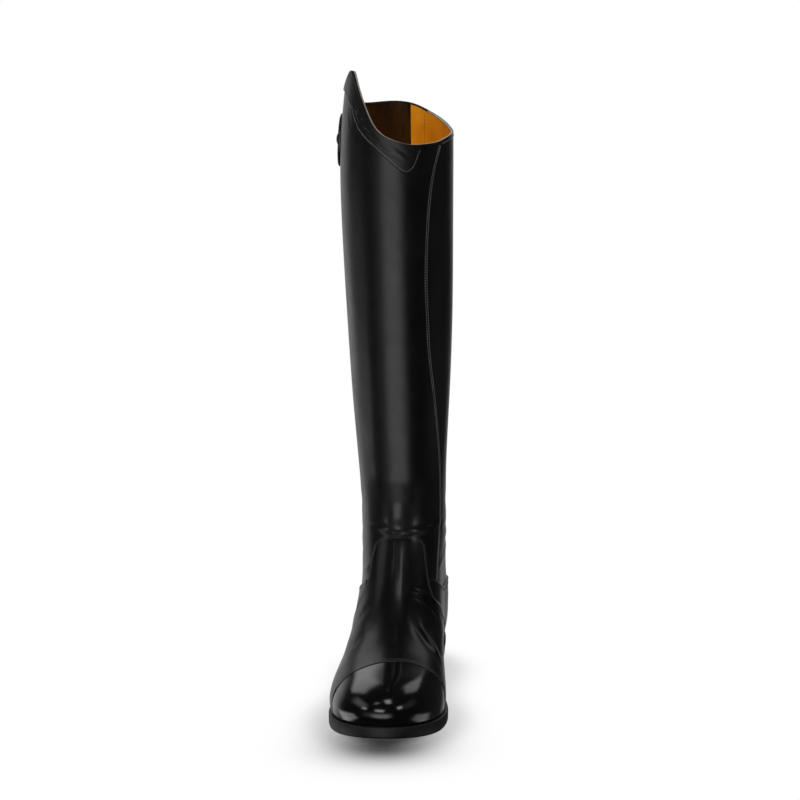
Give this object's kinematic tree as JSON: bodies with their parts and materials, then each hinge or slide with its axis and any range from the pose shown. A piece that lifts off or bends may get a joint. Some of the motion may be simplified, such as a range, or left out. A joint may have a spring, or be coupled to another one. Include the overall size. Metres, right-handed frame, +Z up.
{
  "type": "dress riding boot",
  "caption": "Tall black dress riding boot for the right foot, with toe cap, Spanish top, rear zip with hinged pull, snap tab and low heel.",
  "frame": {"origin": "on the floor under the heel, on the heel's flat bottom", "axes": "+Z up along the shaft, toe to -Y, medial side to +X"},
  "size_m": [0.1008, 0.3036, 0.5095],
  "materials": {
    "black_leather": "polished",
    "cap_leather": "high gloss",
    "top_leather": "semi gloss, fine grain",
    "insole_leather": "matt",
    "black_rubber": "satin",
    "black_elastic": "ribbed elastic",
    "zip_tape": "woven tape with coil teeth",
    "dark_metal": "dark nickel"
  },
  "bodies": {
    "boot": {"upper": "black_leather", "toe_cap": "cap_leather", "vamp": "black_leather", "counter": "black_leather", "spur_rest": "black_leather", "top_panel": "top_leather", "elastic_gusset": "black_elastic", "zip": "zip_tape", "snap_tab": "black_leather", "snap": "dark_metal", "zip_slider": "dark_metal", "outsole": "black_rubber", "heel": "black_rubber", "insole": "insole_leather"},
    "pull": {"zip_pull": "dark_metal"}
  },
  "joints": [
    {"name": "pull_swing", "type": "hinge", "parent": "boot", "child": "pull", "pos_m": [-0.00534, 0.05886, 0.39584], "axis": [1, 0, 0], "range_deg": [0, 170]}
  ]
}
